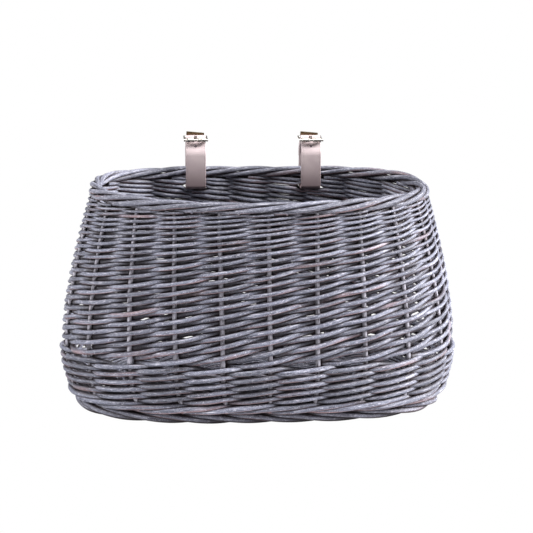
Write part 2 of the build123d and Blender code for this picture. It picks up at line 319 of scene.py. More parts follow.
@dataclass(frozen=True)
class OpalTable:
    """Opal acrylic table lit from below: it shows as plain white and throws only a soft grey bounce."""

    name: str = "opal_table"
    glow: str = "FFFFFF"
    bounce: str = "B8B8BA"

    def material(self) -> bpy.types.Material:
        """Build the material.

        Returns:
            The material.
        """
        material, tree, shader = new_material(self.name)
        shader.inputs["Base Color"].default_value = srgb(self.bounce)
        shader.inputs["Roughness"].default_value = 0.9
        glow = add_node(tree, "ShaderNodeEmission", in_Color=srgb(self.glow), in_Strength=1.0)
        path = add_node(tree, "ShaderNodeLightPath")
        either = add_node(tree, "ShaderNodeMixShader", {0: path.outputs["Is Camera Ray"],
                                                        1: shader.outputs["BSDF"], 2: glow.outputs[0]})
        output = next(node for node in tree.nodes if node.type == "OUTPUT_MATERIAL")
        tree.links.new(either.outputs[0], output.inputs["Surface"])
        return material


# ------------------------------------------------------------------ shape of the basket
@dataclass(frozen=True)
class Plan:
    """Plan of the outer face at one height: half sizes in metres and squareness of front and back."""

    half_width: float
    front: float
    back: float
    front_power: float
    back_power: float

    def values(self) -> np.ndarray:
        """All five values as an array."""
        return np.array([self.half_width, self.front, self.back, self.front_power, self.back_power])


@dataclass
class WallShape:
    """The bellied wall, in the terms that rods are laid in: stake number, height and way out.

    A place on the wall is a stake position (0 is the middle of the back, whole numbers are stakes,
    counted to the right as seen from outside), a height, and a distance out from the wall's middle.
    """

    foot: Plan = Plan(176 * MM, 92 * MM, 100 * MM, 2.9, 3.0)
    belly: Plan = Plan(190 * MM, 105 * MM, 109 * MM, 2.5, 3.0)
    rim: Plan = Plan(159 * MM, 107 * MM, 97 * MM, 2.1, 3.2)
    belly_height: float = 62 * MM
    rim_height: float = 212 * MM
    slot_height: float = 190.5 * MM
    middle_inset: float = 4.5 * MM
    stakes: int = 22
    lean: float = math.radians(2.5)
    rim_draw: float = 1.5
    foot_draw: int = 2
    samples: int = 1440
    angle_step: float = 0.004
    stake_angle: np.ndarray = field(init=False)

    def __post_init__(self) -> None:
        """Space the stakes evenly along the belly."""
        sweep = math.pi / 2 + np.linspace(0, 2 * math.pi, self.samples + 1)
        x, y = self.outline(sweep, np.full_like(sweep, self.belly_height), 0.0)
        length = np.concatenate([[0], np.cumsum(np.hypot(np.diff(x), np.diff(y)))])
        marks = np.linspace(0, length[-1], self.stakes + 1)
        self.stake_angle = np.interp(marks, length, sweep)

    def outline(self, angle: np.ndarray, height: np.ndarray, inset: float) -> tuple[np.ndarray, np.ndarray]:
        """Read the outline of the basket.

        Args:
            angle: polar angles.
            height: heights in metres, one for each angle.
            inset: how far to move the outline in.

        Returns:
            X and Y of the outline at each place.
        """
        rise = (height - self.belly_height) / (self.rim_height - self.belly_height)
        up = np.clip(rise, 0, None) ** self.rim_draw
        down = np.clip((self.belly_height - height) / self.belly_height, 0, None) ** self.foot_draw
        belly = self.belly.values()[:, None]
        to_rim = self.rim.values()[:, None] - belly
        to_foot = self.foot.values()[:, None] - belly
        size = belly + to_rim * up + to_foot * down
        in_front = np.sin(angle) < 0
        depth = np.where(in_front, size[1], size[2]) - inset
        power = np.where(in_front, size[3], size[4])
        across = np.abs(np.cos(angle)) / (size[0] - inset)
        along = np.abs(np.sin(angle)) / depth
        radius = (across ** power + along ** power) ** (-1 / power)
        return radius * np.cos(angle), radius * np.sin(angle)

    def angle_at(self, stake: np.ndarray, height: np.ndarray) -> np.ndarray:
        """Polar angle of a stake position at a height, with the lean of the stakes.

        Args:
            stake: stake positions.
            height: heights in metres.

        Returns:
            Polar angles, with the lean of the stakes.
        """
        turns = np.floor(stake / self.stakes)
        angle = np.interp(stake - turns * self.stakes, np.arange(self.stakes + 1), self.stake_angle)
        return angle + turns * 2 * math.pi + self.lean * (1 - height / self.slot_height)

    def place(self, stake: np.ndarray, height: np.ndarray, out: np.ndarray | float = 0.0) -> np.ndarray:
        """Points in space for places on the wall.

        Args:
            stake: stake positions.
            height: heights in metres.
            out: distances out from the wall's middle.

        Returns:
            An array of points, one row each.
        """
        stake, height = np.broadcast_arrays(np.asarray(stake, float), np.asarray(height, float))
        angle = self.angle_at(stake, height)
        x, y = self.outline(angle, height, self.middle_inset)
        x_next, y_next = self.outline(angle + self.angle_step, height, self.middle_inset)
        x_last, y_last = self.outline(angle - self.angle_step, height, self.middle_inset)
        run = np.stack([x_next - x_last, y_next - y_last])
        run /= np.linalg.norm(run, axis=0)
        return np.stack([x + run[1] * out, y - run[0] * out, height], axis=1)


def smooth_cycle(marks: Sequence[float], values: Sequence[float], at: np.ndarray) -> np.ndarray:
    """Value of a smooth repeating curve through marks.

    Args:
        marks: rising positions; the last one closes the cycle.
        values: the curve's value at each mark, the last equal to the first.
        at: positions to read, of any size.

    Returns:
        The curve at those positions.
    """
    marks, values = np.asarray(marks, float), np.asarray(values, float)
    period = marks[-1] - marks[0]
    at = (np.asarray(at, float) - marks[0]) % period + marks[0]
    i = np.clip(np.searchsorted(marks, at, side="right") - 1, 0, len(marks) - 2)
    before = np.where(i == 0, len(marks) - 2, i - 1)
    after = np.where(i == len(marks) - 2, 1, i + 2)
    gap = marks[i + 1] - marks[i]
    gap_before = np.where(i == 0, marks[-1] - marks[-2], marks[i] - marks[np.maximum(i - 1, 0)])
    gap_after = np.where(i == len(marks) - 2, marks[1] - marks[0],
                         marks[np.minimum(i + 2, len(marks) - 1)] - marks[i + 1])
    slope_here = (values[i + 1] - values[before]) / (gap + gap_before) * gap
    slope_next = (values[after] - values[i]) / (gap + gap_after) * gap
    t = (at - marks[i]) / gap
    return ((2 * t**3 - 3 * t**2 + 1) * values[i] + (t**3 - 2 * t**2 + t) * slope_here
            + (3 * t**2 - 2 * t**3) * values[i + 1] + (t**3 - t**2) * slope_next)


# ------------------------------------------------------------------ rods
@dataclass
class RodBundle:
    """Round rods gathered into one mesh, each with its own colour tone and skin coordinates."""

    name: str
    sides: int = 8
    seed: int = 1
    wobble: float = 0.25 * MM
    wobble_wave: float = 38 * MM
    firm_end: float = 20 * MM
    swell: float = 0.06
    swell_wave: float = 25 * MM
    vertices: list = field(default_factory=list)
    faces: list = field(default_factory=list)
    skins: list = field(default_factory=list)
    tones: list = field(default_factory=list)
    count: int = 0

    def __post_init__(self) -> None:
        """Start the seeded random numbers."""
        self.random = np.random.default_rng(self.seed)

    def slow_noise(self, length: np.ndarray, wave: float) -> np.ndarray:
        """Smooth noise of about +-1 along a rod, with waves of about the given length.

        Args:
            length: each point's distance from the rod's start.
            wave: about how long a wave is.

        Returns:
            A value of about +-1 for each point.
        """
        knots = max(4, int(length[-1] / wave) + 3)
        values = self.random.normal(0, 0.5, knots)
        return np.interp(length, np.linspace(0, length[-1], knots), values)

    @staticmethod
    def soften(values: np.ndarray, width: int) -> np.ndarray:
        """Weighted running mean of values over a width, of the same size."""
        kernel = np.hanning(width + 2)
        return np.convolve(values, kernel / kernel.sum(), mode="same")

    def add(self, points: np.ndarray, radius: np.ndarray | float, closed: bool = False,
            first_side: Vector = Vector((0, 0, 1))) -> None:
        """Add one rod.

        Args:
            points: the rod's middle line, one row per point.
            radius: the rod's radius, one value or one per point.
            closed: whether the rod joins its own start.
            first_side: a direction away from the rod, from which its section is laid out.
        """
        points = np.array(points, float)
        radius = np.broadcast_to(np.asarray(radius, float), len(points)).copy()
        along = np.gradient(points, axis=0)
        if closed:
            along = np.roll(points, -1, axis=0) - np.roll(points, 1, axis=0)
        along /= np.linalg.norm(along, axis=1)[:, None]
        length = np.concatenate([[0], np.cumsum(np.linalg.norm(np.diff(points, axis=0), axis=1))])
        if not closed:
            radius *= 1 + self.swell * self.slow_noise(length, self.swell_wave)
            ease = np.clip(np.minimum(length, length[-1] - length) / self.firm_end, 0, 1)[:, None]
            shift = np.stack([self.slow_noise(length, self.wobble_wave) for _ in range(3)], axis=1)
            points += shift * ease * self.wobble

        side = np.array(first_side, float)
        start = self.count
        ring = np.linspace(0, 2 * math.pi, self.sides, endpoint=False)
        round_x, round_y = np.cos(ring), np.sin(ring)
        tone = self.random.uniform()
        for point, way, size, run in zip(points, along, radius, length):
            side = side - side.dot(way) * way
            side /= np.linalg.norm(side)
            other = np.cross(way, side)
            self.vertices.append(point + size * (round_x[:, None] * side + round_y[:, None] * other))
            self.skins.append(np.stack([np.full(self.sides, run), size * round_x, size * round_y], axis=1))
        rows = len(points)
        self.tones.append(np.full(rows * self.sides, tone))
        self.count += rows * self.sides
        spans = rows if closed else rows - 1
        for i in range(spans):
            here = start + i * self.sides
            there = start + ((i + 1) % rows) * self.sides
            for j in range(self.sides):
                k = (j + 1) % self.sides
                self.faces.append((here + j, here + k, there + k, there + j))
        if not closed:
            self.faces.append(tuple(start + j for j in reversed(range(self.sides))))
            self.faces.append(tuple(start + (rows - 1) * self.sides + j for j in range(self.sides)))

    def piece(self, material: bpy.types.Material) -> bpy.types.Object:
        """Make the mesh object of all the rods.

        Args:
            material: the rods' finish.

        Returns:
            The object.
        """
        mesh = bpy.data.meshes.new(self.name)
        mesh.from_pydata(np.concatenate(self.vertices).tolist(), [], self.faces)
        skin = mesh.attributes.new("rod_skin", "FLOAT_VECTOR", "POINT")
        skin.data.foreach_set("vector", np.concatenate(self.skins).astype(np.float32).ravel())
        tone = mesh.attributes.new("rod_tone", "FLOAT", "POINT")
        tone.data.foreach_set("value", np.concatenate(self.tones).astype(np.float32))
        mesh.polygons.foreach_set("use_smooth", [len(face) == 4 for face in self.faces])
        mesh.materials.append(material)
        mesh.update()
        piece = bpy.data.objects.new(self.name, mesh)
        bpy.context.scene.collection.objects.link(piece)
        LOG.info("%s: %d faces", self.name, len(self.faces))
        return piece


@dataclass
class Finishes:
    """The finished materials, shared by the pieces."""

    weave: bpy.types.Material
    border: bpy.types.Material
    stake: bpy.types.Material
    leather: bpy.types.Material
    metal: bpy.types.Material
    dark_reflection_metal: bpy.types.Material
    table: bpy.types.Material


def dress(piece: bpy.types.Object, body: str, replaced: Iterable[str]) -> None:
    """Hand a piece to the frame.

    Args:
        piece: the finished object.
        body: the CAD body it rides on.
        replaced: the CAD nodes that it stands for.
    """
    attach(piece, body)
    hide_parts(*replaced)


@dataclass
class StrapGap:
    """A place where the weavers part so that a strap can pass through the wall."""

    x: float
    height: float
    half_width: float = 9 * MM
    fade: float = 5 * MM
    clear: float = 1.25 * MM
    reach: float = 9 * MM
    levelling: float = 0.5

    def part(self, points: np.ndarray, radius: np.ndarray) -> np.ndarray:
        """Move a weaver's points up or down, away from the gap.

        Args:
            points: the weaver's middle line.
            radius: its radius at each point.

        Returns:
            The moved points.
        """
        points = points.copy()
        near = (points[:, 1] > 0) & (np.abs(points[:, 0] - self.x) < self.half_width + self.fade)
        starts = np.flatnonzero(near & ~np.roll(near, 1))
        for start in starts:
            stop = start
            while stop < len(near) and near[stop]:
                stop += 1
            span = slice(start, stop)
            rise = points[span, 2] - self.height
            middle = np.argmin(np.abs(points[span, 0] - self.x))
            level = rise[middle]
            if abs(level) > self.reach:
                continue
            least = self.clear + radius[span][middle]
            moved = math.copysign(least + abs(level) * (1 - least / self.reach), level)
            away = np.abs(points[span, 0] - self.x) - self.half_width
            share = 0.5 + 0.5 * np.cos(np.clip(away / self.fade, 0, 1) * math.pi)
            points[span, 2] += share * (moved - level - self.levelling * (rise - level))
        return points


@dataclass
class Stakes:
    """The upright rods of the wall."""

    shape: WallShape
    radius_low: float = 2.4 * MM
    radius_high: float = 2.1 * MM
    low: float = 12 * MM
    high: float = 203 * MM
    points: int = 24

    def radius_at(self, height: np.ndarray) -> np.ndarray:
        """Radius of a stake at a height."""
        share = np.clip((height - self.low) / (self.high - self.low), 0, 1)
        return self.radius_low + (self.radius_high - self.radius_low) * share

    def build(self, finishes: Finishes) -> None:
        """Model all the stakes.

        Args:
            finishes: the shared finishes.
        """
        bundle = RodBundle("stakes", sides=10, seed=11, wobble=0.5 * MM)
        height = np.linspace(self.low, self.high, self.points)
        for stake in range(self.shape.stakes):
            line = self.shape.place(np.full_like(height, stake), height)
            bundle.add(line, self.radius_at(height), first_side=Vector((line[0][0], line[0][1], 0)))
        nodes = [name for name in frame["nodes"] if name.startswith("stake_")]
        dress(bundle.piece(finishes.stake), "basket", nodes)


@dataclass
class Siding:
    """Slanting rand: two weavers for each stake, each in front of one stake and behind the next.

    All the rods climb a row for each stake. Those of every second stake start half a row higher, so
    the strokes of neighbouring stakes are staggered and the rods behind a stake fill the gaps.
    """

    shape: WallShape
    stakes: Stakes
    gaps: list[StrapGap]
    low: float = 55.5 * MM
    high: float = 200.5 * MM
    row_low: float = 9.8 * MM
    row_high: float = 3.7 * MM
    thick_end: float = 5.1 * MM
    thin_end: float = 3.0 * MM
    outer_loss: float = 0.14
    inner_gain: float = 0.42
    inner_sag: float = 0.20
    lag: float = 0.25
    stagger: float = 0.5
    butt: float = 0.45
    taper: float = 1.5
    rod_spread: tuple[float, float] = (0.95, 1.05)
    stroke_spread: float = 0.05
    stake_hold: float = 0.8
    rod_hold: float = 0.7
    samples: int = 400
    steps: int = 10
    weavers_at_stake: int = 2

    def climb(self) -> tuple[np.ndarray, np.ndarray]:
        """Run (in stakes) and height of a weaver's mean line, from butt to tip.

        Returns:
            Runs, counted in stakes, and the heights there, from butt to tip.
        """
        height = np.linspace(self.low, self.high, self.samples)
        slow = 1 / self.row_at((height - self.low) / (self.high - self.low))
        run = np.concatenate([[0], np.cumsum((slow[1:] + slow[:-1]) / 2 * np.diff(height))])
        return run, height

    def row_at(self, share: np.ndarray) -> np.ndarray:
        """Spacing of the rows at a share of the height: the tips lie closer than the butts."""
        return self.row_low + (self.row_high - self.row_low) * share**2

    def build(self, finishes: Finishes) -> None:
        """Model all the weavers, from their butts on the wale to their tips under the border.

        Args:
            finishes: the shared finishes.
        """
        bundle = RodBundle("siding", sides=8, seed=23, wobble=0.45 * MM)
        climb_run, climb_height = self.climb()
        for weaver in range(self.weavers_at_stake * self.shape.stakes):
            stake, pair = divmod(weaver, self.weavers_at_stake)
            run = np.linspace(-self.butt, climb_run[-1], int(climb_run[-1] * self.steps))
            height = np.interp(run + self.stagger * (stake % 2) + pair, climb_run, climb_height)
            share = (height - self.low) / (self.high - self.low)
            radius = (self.thick_end + (self.thin_end - self.thick_end) * share**self.taper) / 2
            radius *= bundle.random.uniform(*self.rod_spread)
            weave = np.sin(math.pi * run - self.lag)
            radius *= 1 - np.where(weave > 0, self.outer_loss, self.inner_gain) * weave
            reach = self.stake_hold * self.stakes.radius_at(height) + self.rod_hold * radius
            height += self.inner_sag * np.minimum(weave, 0) * self.row_at(share)
            strokes = bundle.random.normal(0, self.stroke_spread, int(climb_run[-1]) + 3)
            stroke = np.repeat(strokes, self.steps)
            height += bundle.soften(stroke[:len(run)], self.steps) * self.row_at(share) + radius
            keep = height < self.high
            line = self.shape.place(stake + 0.5 + run, height, weave * reach)[keep]
            for gap in self.gaps:
                line = gap.part(line, radius[keep])
            bundle.add(line, radius[keep])
        dress(bundle.piece(finishes.weave), "basket", ["siding_weave"])


@dataclass(frozen=True)
class Stroke:
    """How one rod of a round lies, mark by mark along its cycle: way out (-1 to 1) and rise (-1 to 1)."""

    marks: tuple[float, ...]
    out: tuple[float, ...]
    rise: tuple[float, ...]
    rods: int


PAIRING = Stroke(
    marks=(0.0, 0.25, 0.5, 0.8, 1.1, 1.35, 1.6, 2.0),
    out=(-0.35, 0.55, 1.0, 1.0, 0.6, -0.35, -1.0, -0.35),
    rise=(-1.0, -0.75, -0.2, 0.45, 1.0, 0.75, -0.1, -1.0),
    rods=2,
)
THREE_ROD_WALE = Stroke(
    marks=(0.0, 0.5, 1.0, 1.5, 2.0, 2.5, 3.0),
    out=(-0.2, 0.95, 1.05, 1.0, 0.3, -1.0, -0.2),
    rise=(-1.0, -0.6, 0.0, 0.6, 1.0, 0.0, -1.0),
    rods=3,
)


@dataclass
class WovenBand:
    """A band of rounds worked with a few long rods that take turns in front of the stakes."""

    name: str
    node: str
    stroke: Stroke
    shape: WallShape
    stakes: Stakes
    low: float
    high: float
    rounds: int
    thickness: float
    lay: float
    seed: int
    step_at: float = 5.0
    swell: float = 0.08
    swell_rate: float = 0.6
    hold: float = 0.9
    steps: int = 12

    def build(self, finishes: Finishes) -> None:
        """Model the rounds as long rods that step up at the end of each round.

        Args:
            finishes: the shared finishes.
        """
        bundle = RodBundle(self.name, sides=10, seed=self.seed, wobble=0.4 * MM)
        pitch = (self.high - self.low) / self.rounds
        total = self.rounds * self.shape.stakes
        for rod in range(self.stroke.rods):
            run = np.linspace(0, total, total * self.steps + 1)
            place = run / self.shape.stakes
            step = np.clip((place % 1 - 1) * self.shape.stakes + 1, 0, 1)
            level = np.minimum(np.floor(place) + step**2 * (3 - 2 * step), self.rounds - 1)
            turn = run + rod
            weave = smooth_cycle(self.stroke.marks, self.stroke.out, turn)
            rise = smooth_cycle(self.stroke.marks, self.stroke.rise, turn)
            height = self.low + pitch * (level + 0.5) + rise * self.lay
            radius = self.thickness / 2 * (1 + self.swell * np.sin(run * self.swell_rate + rod * 2))
            out = weave * (self.stakes.radius_low + radius * self.hold)
            bundle.add(self.shape.place(self.step_at + run, height, out), radius)
        dress(bundle.piece(finishes.weave), "basket", [self.node])


class Lay(Enum):
    """Which way a rope's strands run as seen from outside, going to the right."""

    RISING = 1
    FALLING = -1


@dataclass
class RolledBorder:
    """The rim: each stake's top is laid over to the right and rolled once round its neighbours."""

    shape: WallShape
    middle: float = 205.6 * MM
    roll: float = 3.6 * MM
    radius: float = 2.35 * MM
    rise_from: float = 195 * MM
    wrap: float = 4.0
    start: float = 0.35
    end: float = 0.40
    waver: float = 0.10
    rise_drop: float = 1.6
    end_drop: float = 1.35
    end_out: float = 0.5
    rod_spread: tuple[float, float] = (0.9, 1.08)
    steps: int = 12

    def build(self, finishes: Finishes) -> None:
        """Model one rolled rod for each stake, with its cut end under the rim outside.

        Args:
            finishes: the shared finishes.
        """
        bundle = RodBundle("border", sides=10, seed=37, wobble=0.35 * MM)
        for stake in range(self.shape.stakes):
            run = np.linspace(self.start, self.wrap + self.start, int(self.wrap * self.steps))
            turn = -math.pi / 2 + 2 * math.pi * run / self.wrap
            roll = self.roll * (1 + self.waver * np.sin(run * 1.7 + stake))
            rolled = self.shape.place(stake + run, self.middle + roll * np.sin(turn), roll * np.cos(turn))
            rise = self.shape.place([stake, stake + 0.05],
                                    [self.rise_from, self.middle - self.rise_drop * self.roll])
            end = self.shape.place([stake + self.wrap + self.end], [self.middle - self.end_drop * self.roll],
                                   np.array([self.end_out * self.roll]))
            line = np.concatenate([rise, rolled, end])
            size = np.interp(np.arange(len(line)), [0, 4, len(line) - 8, len(line) - 1],
                             [0.75, 1.0, 1.0, 0.85])
            outward = Vector((line[0][0], line[0][1], 0))
            bundle.add(line, size * self.radius * bundle.random.uniform(*self.rod_spread),
                       first_side=outward)
        dress(bundle.piece(finishes.border), "basket", ["rim_border"])


@dataclass
class TwistedFoot:
    """The foot: thick rods rolled together into a rope of three, which the basket stands on."""

    shape: WallShape
    middle: float = 5.7 * MM
    roll: float = 2.9 * MM
    radius: float = 2.75 * MM
    strands: int = 3
    inset: float = 1.3 * MM
    lay: Lay = Lay.FALLING
    swell: float = 0.05
    swells: int = 31
    steps: int = 15

    def build(self, finishes: Finishes) -> None:
        """Model the rope, whose strands run on into one another and shift by a stake each round.

        Args:
            finishes: the shared finishes.
        """
        bundle = RodBundle("foot", sides=10, seed=41)
        total = self.strands * self.shape.stakes
        run = np.linspace(0, total, total * self.steps, endpoint=False)
        turn = self.lay.value * 2 * math.pi * run / self.strands
        out = self.roll * np.cos(turn) - self.inset
        line = self.shape.place(run, self.middle + self.roll * np.sin(turn), out)
        thickness = 1 + self.swell * np.sin(2 * math.pi * self.swells * run / total)
        bundle.add(line, self.radius * thickness, closed=True)
        dress(bundle.piece(finishes.border), "basket", ["foot_border"])


@dataclass
class WovenBase:
    """The base: straight sticks with rods woven round and round over and under them."""

    shape: WallShape
    height: float = 15 * MM
    inset: float = 13 * MM
    thickness: float = 3.0 * MM
    stick_radius: float = 3.0 * MM
    bite: float = 0.4 * MM
    packing: float = 1.03
    heart: float = 3.5 * MM
    points: int = 200

    def sticks(self, bundle: RodBundle) -> list[float]:
        """Add the sticks, from their CAD boxes, and return the X of each cross stick.

        Args:
            bundle: the rods to add them to.

        Returns:
            X of each cross stick.
        """
        places = []
        for name in sorted(frame["nodes"]):
            if not name.startswith("base_") or "stick" not in name:
                continue
            low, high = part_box(name)
            middle = (low + high) / 2
            crosswise = "cross" in name
            axis = 1 if crosswise else 0
            ends = np.array([middle, middle], float)
            ends[0][axis], ends[1][axis] = low[axis], high[axis]
            line = np.linspace(ends[0], ends[1], 24)
            bundle.add(line, (high[2] - low[2]) / 2)
            if crosswise:
                places.append(middle[0])
        return places

    def loop(self, inset: float, stations: list[float], row: int) -> np.ndarray:
        """Middle line of one round, which goes over and under the sticks by turns.

        Args:
            inset: how far the round lies inside the base's outline.
            stations: X of the cross sticks.
            row: the round's number.

        Returns:
            The points of the round.
        """
        level = np.array([self.height])

        def xy(angle: np.ndarray) -> tuple[np.ndarray, np.ndarray]:
            """Plan of this round at polar angles."""
            return self.shape.outline(angle, np.broadcast_to(level, np.shape(angle)), self.inset + inset)

        angle = np.linspace(0, 2 * math.pi, self.points, endpoint=False)
        x, y = xy(angle)
        marks = [0.0, math.pi]
        for stick in stations:
            crossing = np.flatnonzero(np.diff(np.sign(x - stick)))
            marks.extend((angle[i] + angle[i + 1]) / 2 for i in crossing)
        marks = sorted(marks)
        swings = [(-1) ** (i + row) for i in range(len(marks))]
        marks.append(marks[0] + 2 * math.pi)
        swings.append(swings[0])
        lift = smooth_cycle(marks, swings, angle) * (self.stick_radius + self.thickness / 2 - self.bite)
        return np.stack([x, y, self.height + lift], axis=1)

    def build(self, finishes: Finishes) -> None:
        """Model the sticks and the rounds.

        Args:
            finishes: the shared finishes.
        """
        sticks = RodBundle("base_sticks", sides=10, seed=53)
        stations = self.sticks(sticks)
        names = [name for name in frame["nodes"] if name.startswith("base_") and "stick" in name]
        dress(sticks.piece(finishes.stake), "basket", names)
        weave = RodBundle("base_rounds", sides=8, seed=59)
        depth = self.shape.outline(np.array([-math.pi / 2]), np.array([self.height]), self.inset)[1][0]
        rows = int((abs(depth) - self.heart) / (self.thickness * self.packing))
        for row in range(rows):
            line = self.loop(row * self.thickness * self.packing, stations, row)
            weave.add(line, self.thickness / 2 * weave.random.uniform(0.92, 1.04), closed=True)
        dress(weave.piece(finishes.weave), "basket", ["base_weave"])


# ------------------------------------------------------------------ straps
def select_nothing() -> None:
    """Leave edit mode and clear the selection."""
    if bpy.context.mode != "OBJECT":
        bpy.ops.object.mode_set(mode="OBJECT")
    bpy.ops.object.select_all(action="DESELECT")


def select_points(test: Callable[[Vector], bool]) -> None:
    """In edit mode, select the vertices for which a test holds, and nothing else.

    Args:
        test: says for a vertex's place whether it is wanted.
    """
    piece = bpy.context.active_object
    bpy.ops.mesh.select_mode(type="VERT")
    bpy.ops.mesh.select_all(action="DESELECT")
    bpy.ops.object.mode_set(mode="OBJECT")
    for vertex in piece.data.vertices:
        vertex.select = test(vertex.co)
    bpy.ops.object.mode_set(mode="EDIT")


def apply_place(piece: bpy.types.Object) -> None:
    """Move an object's place, turn and scale into its mesh.

    Args:
        piece: the object.
    """
    select_nothing()
    piece.select_set(True)
    bpy.context.view_layer.objects.active = piece
    bpy.ops.object.transform_apply(location=True, rotation=True, scale=True)


@dataclass
class Strap:
    """One strap: a flat leather strip, creased along both edges, closed round the rim and the bar.

    The path is drawn from behind the buckle: the sewn flap, round the buckle's pin, over the bar,
    down outside, through the wall, up inside, round the pin again and down to the free end.
    """

    side: str
    slot: Vector
    width: float = 20 * MM
    thickness: float = 1.6 * MM
    edge_round: float = 0.45 * MM
    crease_inset: float = 1.5 * MM
    crease_width: float = 0.5 * MM
    crease_depth: float = 0.18 * MM
    loop_height: float = 33.1 * MM
    pin_height: float = 14.3 * MM
    loop_line: float = 12.0 * MM
    eye_line: float = 2.3 * MM
    flap_line: float = 13.7 * MM
    tail_eye_line: float = 4.2 * MM
    tail_line: float = 15.6 * MM
    corner: float = 3.0 * MM
    flap_start: float = 28.0
    end_length: float = 6.0 * MM
    hole: float = 3.0 * MM
    hole_pitch: float = 9.0 * MM
    first_hole: float = 4.5 * MM
    straight_end: float = 0.6
    end_taper: tuple[tuple[float, float], ...] = ((0.25, 0.90), (0.15, 0.72))
    eye_window: float = 4.2 * MM
    eye_window_radius: float = 3.15 * MM
    slot_size: tuple[float, float, float] = (3.0 * MM, 4.8 * MM, 3.9 * MM)
    slot_middle: tuple[float, float] = (-3.2 * MM, 2.9 * MM)
    slot_tilt: float = 17.6
    arc_step: float = 6.0

    def leaves_at(self, low_radius: float, top_radius: float) -> float:
        """Angle from upright, in degrees, at which the strap leaves the bar and the pin circles."""
        return math.degrees(math.acos((low_radius - top_radius) / self.pin_height))

    def hub(self) -> Vector:
        """Middle of the handlebar inside this strap."""
        return self.slot + Vector((0, 0, self.loop_height))

    def pin(self) -> Vector:
        """Middle of the buckle's pin."""
        return self.hub() + Vector((0, 0, self.pin_height))

    @staticmethod
    def spoke(angle: float) -> Vector:
        """Direction at an angle in degrees, from the back towards up."""
        return Vector((0, math.cos(math.radians(angle)), math.sin(math.radians(angle))))

    def run(self, back: float, up: float) -> None:
        """Pull the selected end face straight, by a length towards the back and a length up."""
        bpy.ops.mesh.extrude_region_move(TRANSFORM_OT_translate={"value": (0, back, up)})

    def bend(self, centre: Vector, turn: float) -> None:
        """Turn the selected end face round a centre.

        Args:
            centre: the centre of the bend.
            turn: the angle in degrees, positive from the back towards up.
        """
        steps = max(2, round(abs(turn) / self.arc_step))
        bpy.ops.mesh.spin(steps=steps, angle=-math.radians(turn), center=centre, axis=(1, 0, 0))

    def reach(self, start_radius: float, centre_rise: float, end_radius: float, angle: float) -> None:
        """Pull the end face straight from one circle to another, at the angle where both touch it.

        Args:
            start_radius: radius of the circle that the strap leaves.
            centre_rise: height of the other circle's centre over the first one's.
            end_radius: radius of the other circle.
            angle: angle of the touching points, in degrees.
        """
        grow = end_radius - start_radius
        turn = math.radians(angle)
        self.run(grow * math.cos(turn), centre_rise + grow * math.sin(turn))

    def section(self) -> bpy.types.Object:
        """Draw the strip's section, with its rounded edges and its two creases on each face.

        Returns:
            The flat section, at the start of the path.
        """
        out = self.spoke(self.flap_start)
        select_nothing()
        bpy.ops.mesh.primitive_plane_add(size=1, location=(0, 0, 0))
        piece = bpy.context.active_object
        piece.name = f"{self.side}_strap_leather"
        piece.scale = (self.width, self.thickness, 1)
        apply_place(piece)
        bpy.ops.object.mode_set(mode="EDIT")
        bpy.ops.mesh.select_all(action="SELECT")
        bpy.ops.mesh.bevel(offset=self.edge_round, segments=3, affect="VERTICES")
        middle = self.width / 2 - self.crease_inset
        for sign in (-1, 1):
            for step in (-1, 0, 1):
                bpy.ops.mesh.select_all(action="SELECT")
                bpy.ops.mesh.bisect(plane_co=(sign * middle + step * self.crease_width / 2, 0, 0),
                                    plane_no=(1, 0, 0))
        for sign in (-1, 1):
            select_points(lambda co: abs(abs(co.x) - middle) < 1e-5 and co.y * sign > 0)
            bpy.ops.transform.translate(value=(0, -sign * self.crease_depth, 0))
        bpy.ops.object.mode_set(mode="OBJECT")
        face_up = Matrix(((1, 0, 0), (0, out.y, -out.z), (0, out.z, out.y))).to_4x4()
        piece.matrix_world = Matrix.Translation(self.hub() + out * self.flap_line) @ face_up
        apply_place(piece)
        return piece

    def shape(self) -> bpy.types.Object:
        """Pull and bend the section along the strap's path.

        Returns:
            The closed strap.
        """
        piece = self.section()
        hub, pin = self.hub(), self.pin()
        flap_lean = 90 - self.leaves_at(self.flap_line, self.eye_line)
        near_lean = 90 + self.leaves_at(self.loop_line, self.tail_eye_line)
        far_lean = 90 - self.leaves_at(self.tail_line, self.tail_eye_line)
        low = self.corner - self.loop_height
        side = self.loop_line - self.corner
        bpy.ops.object.mode_set(mode="EDIT")
        bpy.ops.mesh.select_mode(type="FACE")
        bpy.ops.mesh.select_all(action="SELECT")
        self.bend(hub, flap_lean - self.flap_start)
        self.reach(self.flap_line, self.pin_height, self.eye_line, flap_lean)
        self.bend(pin, 270 - flap_lean)
        self.bend(hub, -90)
        self.run(0, low)
        self.bend(hub + Vector((0, side, low)), -90)
        self.run(-2 * side, 0)
        self.bend(hub + Vector((0, -side, low)), -90)
        self.run(0, -low)
        self.bend(hub, near_lean - 180)
        self.reach(self.loop_line, self.pin_height, self.tail_eye_line, near_lean)
        self.bend(pin, far_lean - near_lean)
        self.reach(self.tail_eye_line, -self.pin_height, self.tail_line, far_lean)
        self.bend(hub, -far_lean)
        self.run(0, -self.end_length * self.straight_end)
        for drop, narrow in self.end_taper:
            self.run(0, -self.end_length * drop)
            bpy.ops.transform.resize(value=(narrow, 1, 1))
        bpy.ops.mesh.select_all(action="SELECT")
        bpy.ops.mesh.remove_doubles(threshold=0.01 * MM)
        bpy.ops.mesh.normals_make_consistent(inside=False)
        bpy.ops.object.mode_set(mode="OBJECT")
        return piece

